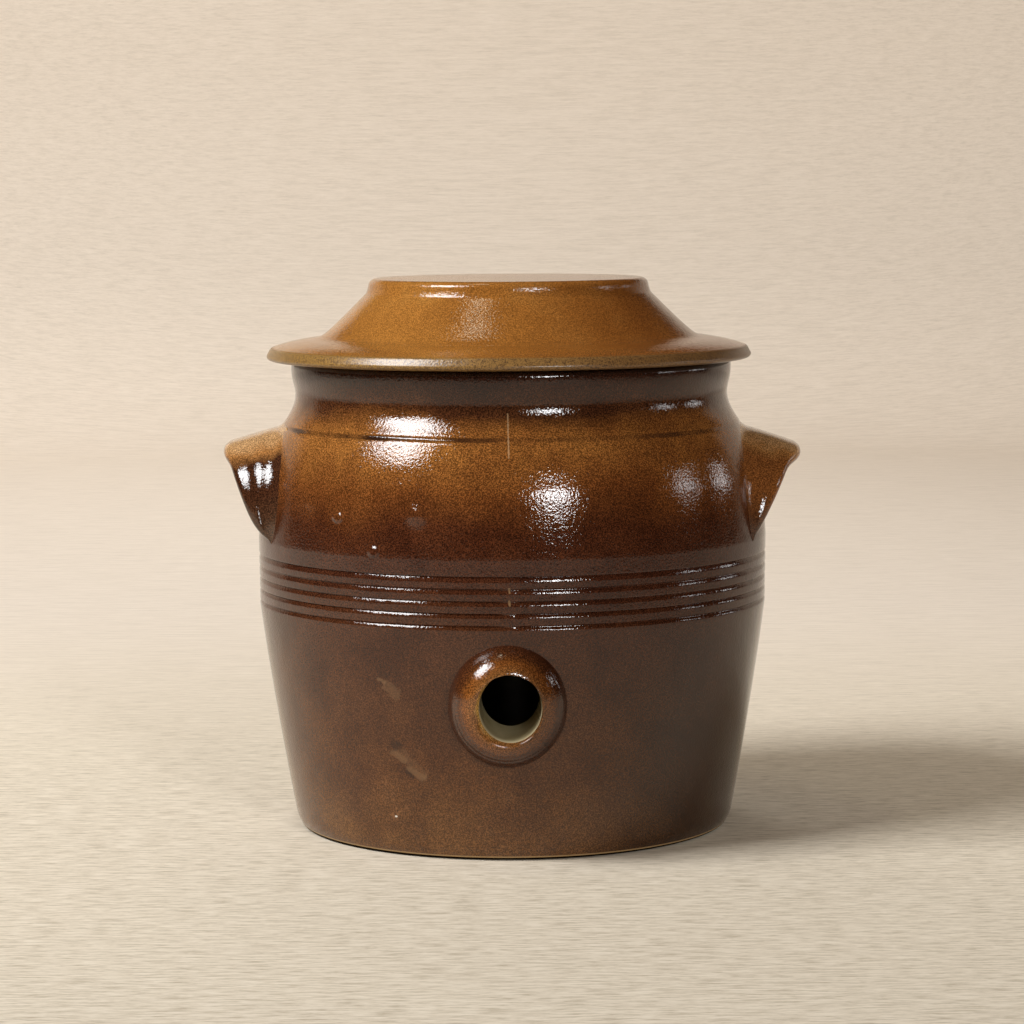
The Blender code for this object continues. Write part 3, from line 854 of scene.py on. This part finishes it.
def pot_glaze():
    """Brown glaze: dark at the neck, with painted shade under the lid, amber on the shoulder, deep red-brown
    on the belly, lighter low down.
    """
    nodes = Nodes("brown_pot_glaze")
    height = nodes.axis(2)
    grain_depth = nodes.range(height, 0.100, 0.140, 0.95, 1.15)
    colour = grained(nodes, pot_colour_with_painted_light(nodes, height), grain_depth)
    colour = crease_shade_and_seam(nodes, colour)
    colour = wear(nodes, colour)
    colour = foot_line_and_painted_shadow(nodes, height, colour)
    nodes.put("Base Color", colour)
    relief = None
    for bump_x, bump_z, size, tall in PIMPLES:
        spot = nodes.near_line((bump_x, bump_z), (bump_x + 0.2 * MM, bump_z), size)
        relief = nodes.bump(spot, tall, relief)
    glaze_surface(nodes, PEEL, GRIT, coat_roughness=0.06, relief=relief)
    nodes.put("Coat Weight", nodes.range(height, 1.2 * MM, 1.8 * MM))
    return nodes.material


def lug_glaze(name, flank, low):
    """The lugs' glaze by height: tan over the top, darker down the flank."""
    nodes = Nodes(name)
    drift = nodes.math("MULTIPLY_ADD", nodes.noise(90.0, detail=3.0), 0.009, -0.0045)
    out = nodes.times(nodes.math("ABSOLUTE", nodes.axis(0)), 0.28)
    level = nodes.math("ADD", nodes.math("ADD", nodes.axis(2), drift), out)
    share = nodes.times(nodes.math("SUBTRACT", level, 0.160), 20.0, clamp=True)
    ground = nodes.ramp(share, [(0.10, low), (0.45, flank), (0.70, flank), (0.79, (0.250, 0.110, 0.032)),
                                (0.90, (0.400, 0.235, 0.105))])
    nodes.put("Base Color", grained(nodes, ground, 1.10))
    glaze_surface(nodes, PEEL, GRIT, coat_roughness=0.06)
    return nodes.material


def collar_glaze():
    """The collar: tan on the lip's face, amber inside a dark outer flank, a golden edge at the bore, and
    painted shade towards the right.
    """
    nodes = Nodes("amber_collar_glaze")
    x, _, z = nodes.axes()
    across = nodes.math("SUBTRACT", x, TAP_X)
    up = nodes.times(nodes.math("SUBTRACT", z, TAP_HEIGHT - 0.5 * MM), 1.0 / TAP_OVAL)
    gap = nodes.math("SQRT", nodes.math("MULTIPLY_ADD", across, across, nodes.times(up, up)))
    uneven = nodes.math("SUBTRACT", nodes.noise(260.0, detail=3.0), 0.5)
    gap = nodes.math("MULTIPLY_ADD", uneven, 2.4 * MM, gap)
    share = nodes.times(nodes.math("SUBTRACT", gap, 12.5 * MM), 1.0 / (14.0 * MM), clamp=True)
    ground = nodes.ramp(share, [(0.01, (0.400, 0.224, 0.060)), (0.11, (0.185, 0.078, 0.022)),
                                (0.40, (0.150, 0.050, 0.010)), (0.60, (0.066, 0.021, 0.006)),
                                (0.86, (0.040, 0.013, 0.006))])
    # Painted shade: darker towards the right, away from the key light
    shade = nodes.range(across, -16 * MM, 14 * MM, 0.0, 0.85)
    ground = nodes.tinted(ground, (0.45, 0.42, 0.45), shade)
    nodes.put("Base Color", grained(nodes, ground, 1.15))
    glaze_surface(nodes, 0.130 * MM, GRIT, coat_roughness=0.08)
    return nodes.material


def inside_glaze():
    """The pale olive glaze of the inside and the bore, with painted light towards the bore's mouth."""
    nodes = Nodes("pale_inside_glaze")
    clouds = nodes.noise(90.0, detail=4.0)
    colour = nodes.ramp(clouds, [(0.3, (0.26, 0.21, 0.11)), (0.7, (0.36, 0.30, 0.17))])
    # Painted light: lighter towards the bore's mouth
    mouth = nodes.range(nodes.axis(1), -112.0 * MM, -119.0 * MM)
    colour = nodes.mix(mouth, colour, (0.62, 0.53, 0.34))
    nodes.put("Base Color", colour)
    glaze_surface(nodes, 0.03 * MM, 0.01 * MM, coat_roughness=0.12)
    return nodes.material


def bare_clay():
    """Unglazed fired stoneware under the base."""
    nodes = Nodes("bare_stoneware")
    grit = nodes.noise(700.0, detail=4.0, rough=0.7)
    colour = nodes.ramp(grit, [(0.35, (0.30, 0.21, 0.13)), (0.6, (0.46, 0.35, 0.23)),
                               (0.75, (0.22, 0.13, 0.08))])
    nodes.put("Base Color", colour)
    nodes.put("Roughness", 0.85)
    nodes.put("Normal", nodes.bump(grit, 0.15 * MM))
    return nodes.material


def lid_glaze():
    """Ochre glaze with fine dark grain, lighter towards one side and darker towards the other as painted
    light and shade, and gold with dark specks on the edge.
    """
    nodes = Nodes("ochre_lid_glaze")
    height = nodes.axis(2)
    clouds = nodes.noise(30.0, detail=4.0, rough=0.55)
    ground = nodes.ramp(clouds, [(0.30, (0.225, 0.078, 0.010)), (0.55, (0.280, 0.103, 0.014)),
                                 (0.78, (0.325, 0.135, 0.022))])
    # Painted light and shade: lighter and bluer towards the key-lit left, darker towards the right, on the
    # glaze and its edge
    side = nodes.range(nodes.axis(0), -0.090, 0.075, 1.0, 0.0)
    darker = (0.56, 0.50, 0.62)
    ground = nodes.tinted(ground, nodes.mix(side, darker, (1.18, 1.36, 1.90)))
    colour = grained(nodes, ground, 0.68)
    edge = nodes.range(height, 213.4 * MM, 212.4 * MM)
    edge_specks = nodes.range(nodes.noise(1500.0, rough=0.8), 0.44, 0.60)
    edge_glaze = nodes.mix(edge_specks, (0.310, 0.176, 0.046), (0.085, 0.041, 0.012))
    edge_glaze = nodes.tinted(edge_glaze, nodes.mix(side, darker, (1.0, 1.0, 1.0)))
    colour = nodes.mix(edge, colour, edge_glaze)
    nodes.put("Base Color", colour)
    glaze_surface(nodes, 0.130 * MM, GRIT)
    nodes.put("Coat Roughness", nodes.range(edge, 0.0, 1.0, 0.12, 0.28))
    return nodes.material


# ---------------------------------------------------------------- stage, light and camera

LIGHT_AIM = Vector((0.0, 0.0, 0.15))
CAMERA_PLACE = (0.0, -1.4553, 0.2859)
CAMERA_PITCH = math.radians(5.79)
CAMERA_ROLL = math.radians(0.41)


def cloth_mesh():
    """The cloth's shape: a flat floor, swept up into a backdrop behind the object only."""
    flat, rise, tall, far = 2.0, 0.45, 1.0, 4.5
    angles = np.linspace(0.0, 2 * math.pi, 240, endpoint=False)
    behind = smooth_step((np.sin(angles) - 0.50) / 0.10)
    rings = []
    for radius in (0.0, 0.3, 0.7, 1.2, 1.6, flat):
        rings.append([(radius * math.cos(a), radius * math.sin(a), 0.0) for a in angles])
    sweep = np.linspace(0, math.pi / 2, 17)[1:]
    bends = [(flat + rise * math.sin(a), rise * (1 - math.cos(a))) for a in sweep]
    bends.append((flat + rise, tall))
    for step, (out, height) in enumerate(bends, 1):
        front = flat + (far - flat) * step / len(bends)
        reach = front + (out - front) * behind
        rings.append([(r * math.cos(a), r * math.sin(a), height * b)
                      for r, a, b in zip(reach, angles, behind)])
    return grid_mesh("studio_cloth", rings, pole_start=True)


def pale_linen():
    """The cloth's weave: long streaks and fine threads, with painted light: darker towards the front, a
    little lighter and cooler towards the back, and darker up the backdrop.
    """
    nodes = Nodes("pale_linen")
    _, depth, height = nodes.axes()
    streaks = nodes.noise(1.0, detail=4.0, rough=0.6, stretch=(22.0, 260.0, 400.0))
    threads = nodes.noise(1.0, detail=3.0, rough=0.75, stretch=(80.0, 560.0, 900.0))
    thread_depth = nodes.range(depth, -0.10, 0.60, 2.6, 0.5)
    weave = nodes.math("MULTIPLY_ADD", nodes.math("SUBTRACT", threads, 0.5), thread_depth,
                       nodes.math("MULTIPLY_ADD", streaks, 0.6, 0.2))
    colour = nodes.ramp(weave, [(0.10, (0.500, 0.432, 0.330)), (0.30, (0.605, 0.534, 0.422)),
                                (0.52, (0.705, 0.625, 0.500)), (0.78, (0.780, 0.702, 0.576))])
    # Painted light on the cloth: darker towards the front, lighter towards the back, and darker up the
    # backdrop
    shade = nodes.times(nodes.range(depth, -0.75, 0.05, 0.66, 0.94), nodes.range(depth, -0.1, 0.7, 1.0, 1.26))
    shade = nodes.times(shade, nodes.range(height, 0.0, 0.22, 1.0, 0.885))
    cooler = nodes.mix(nodes.range(depth, 0.1, 0.8), (1.0, 1.0, 1.0), (1.0, 1.01, 1.08))
    nodes.put("Base Color", nodes.tinted(nodes.tinted(colour, nodes.grey(shade)), cooler))
    nodes.put("Roughness", 0.9)
    nodes.put("Specular IOR Level", 0.1)
    return nodes.material


def make_floor():
    """A pale cloth on the floor, swept up into a plain backdrop behind the object."""
    cloth = cloth_mesh()
    cloth.data.materials.append(pale_linen())


def aimed_at(place, target):
    """The turn that makes a light at a place look at a target."""
    return (place - target).to_track_quat("Z", "Y").to_euler()


def soft_box(name, direction, distance, size, power, colour=(1.0, 1.0, 1.0)):
    """A rectangular area light that looks at the pot's middle from a direction."""
    data = bpy.data.lights.new(name, "AREA")
    data.shape = "RECTANGLE"
    data.size, data.size_y = size
    data.energy = power
    data.color = colour
    light = bpy.data.objects.new(name, data)
    bpy.context.scene.collection.objects.link(light)
    light.location = LIGHT_AIM + Vector(direction).normalized() * distance
    light.rotation_euler = aimed_at(light.location, LIGHT_AIM)
    light.visible_camera = False
    return light


def make_lights():
    """The key at the upper left, a front fill, two small strips on the right, and the backdrop's own."""
    soft_box("key_soft_box", (-0.65, -0.32, 0.69), 2.0, (0.80, 0.80), 47.0, (0.985, 0.99, 1.0))
    soft_box("front_soft_box", (0.315, -0.90, 0.285), 2.0, (0.40, 0.38), 15.0, (0.98, 0.99, 1.0))
    soft_box("right_strip_near", (0.98, -0.07, 0.215), 1.7, (0.24, 0.26), 1.2)
    soft_box("right_strip_far", (0.93, 0.35, 0.15), 1.7, (0.17, 0.22), 0.7)
    soft_box("top_soft_box", (-0.20, 0.02, 0.99), 2.0, (0.42, 0.10), 1.6, (1.0, 0.93, 0.70))
    backdrop = soft_box("backdrop_soft_box", (-0.42, 1.3, 1.0), 1.9, (1.8, 0.5), 10.6, (1.0, 0.995, 0.99))
    backdrop.rotation_euler = aimed_at(backdrop.location, Vector((0.0, 1.9, 0.0)))
    backdrop.visible_glossy = False


def switched(tree, which, usual, other):
    """The usual shader, or the other one for one kind of ray."""
    made = tree.nodes.new("ShaderNodeMixShader")
    for socket, source in zip(made.inputs, (which, usual, other)):
        tree.links.new(source, socket)
    return made.outputs[0]


def make_world():
    """A weak warm fill, darker for reflections, and the backdrop's colour where the camera sees past it."""
    world = bpy.data.worlds.new("studio")
    bpy.context.scene.world = world
    world.use_nodes = True
    tree = world.node_tree
    fill = tree.nodes["Background"]
    fill.inputs["Color"].default_value = (0.97, 0.62, 0.33, 1.0)
    fill.inputs["Strength"].default_value = 0.12
    reflected = tree.nodes.new("ShaderNodeBackground")
    reflected.inputs["Color"].default_value = (0.022, 0.019, 0.016, 1.0)
    seen = tree.nodes.new("ShaderNodeBackground")
    seen.inputs["Color"].default_value = (0.74, 0.62, 0.48, 1.0)
    rays = tree.nodes.new("ShaderNodeLightPath").outputs
    surface = switched(tree, rays["Is Glossy Ray"], fill.outputs[0], reflected.outputs[0])
    surface = switched(tree, rays["Is Camera Ray"], surface, seen.outputs[0])
    tree.links.new(surface, tree.nodes["World Output"].inputs["Surface"])


def make_camera():
    """A long lens a little above the lid, looking slightly down, with a trace of roll."""
    data = bpy.data.cameras.new("camera")
    data.lens = 115.05
    data.sensor_width = 36.0
    data.clip_start = 0.05
    data.clip_end = 50.0
    camera = bpy.data.objects.new("camera", data)
    bpy.context.scene.collection.objects.link(camera)
    tilt = Matrix.Rotation(math.radians(90.0) - CAMERA_PITCH, 4, "X")
    camera.matrix_world = Matrix.Translation(CAMERA_PLACE) @ tilt @ Matrix.Rotation(-CAMERA_ROLL, 4, "Z")
    bpy.context.scene.camera = camera


# ---------------------------------------------------------------- assembly

def paint(obj, outside, inside=None, is_inside=None):
    """Give a piece its outside glaze, and the faces that is_inside picks the inside one."""
    obj.data.materials.clear()
    obj.data.materials.append(outside)
    if inside is not None:
        obj.data.materials.append(inside)
        for face in obj.data.polygons:
            face.material_index = 1 if is_inside(face.center) else 0


def inside_pot(point):
    """Whether a place is on the pot's inner wall or floor."""
    return 3 * MM < point.z and math.hypot(point.x, point.y) < wall_radius(point.z) - 3.2 * MM


def in_bore(point):
    """Whether a place is on the bore's wall, behind the rounded mouth."""
    local = bore_frame().inverted() @ point
    return math.hypot(local.x, local.y / BORE_OVAL) < 13.2 * MM and local.z < -1.6 * MM


def paint_base(obj, clay):
    """Bare clay on the faces that the pot stands on."""
    obj.data.materials.append(clay)
    for face in obj.data.polygons:
        if face.center.z < 0.3 * MM:
            face.material_index = len(obj.data.materials) - 1


# How each lug's lip falls away from its tip. The two were made by hand, so they differ
LEFT_LUG = {"tip": at(128.4, 170.2), "nose": 2.3 * MM, "lean": 0.386, "hook": 13.8 * MM,
            "crown": 0.4 * MM, "ripple": 0.28 * MM}
RIGHT_LUG = {"tip": at(129.1, 168.2), "nose": 4.3 * MM, "lean": 0.48, "hook": 3.0 * MM,
             "crown": 0.3 * MM, "ripple": 0.12 * MM}

pale = inside_glaze()
pot = make_crock()
paint(pot, pot_glaze(), pale, inside_pot)
paint_base(pot, bare_clay())
collar = make_collar()
paint(collar, collar_glaze(), pale, in_bore)
left = make_lug("ear_lug_left", -1, LEFT_LUG)
right = make_lug("ear_lug_right", 1, RIGHT_LUG)
paint(left, lug_glaze("left_lug_glaze", (0.040, 0.014, 0.006), (0.055, 0.026, 0.013)))
paint(right, lug_glaze("right_lug_glaze", (0.160, 0.056, 0.014), (0.055, 0.021, 0.009)))
lid = make_lid()
paint(lid, lid_glaze())

for piece, node, body, slot in ((pot, "crock_body", "crock", "brown_glaze"),
                                (collar, "tap_collar", "crock", "amber_glaze"),
                                (left, "handle_left", "crock", "brown_glaze"),
                                (right, "handle_right", "crock", "brown_glaze"),
                                (lid, "lid", "lid", "ochre_glaze")):
    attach(piece, body)
    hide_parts(node)

make_floor()
make_lights()
make_world()
make_camera()
bpy.context.scene.view_settings.view_transform = "Standard"
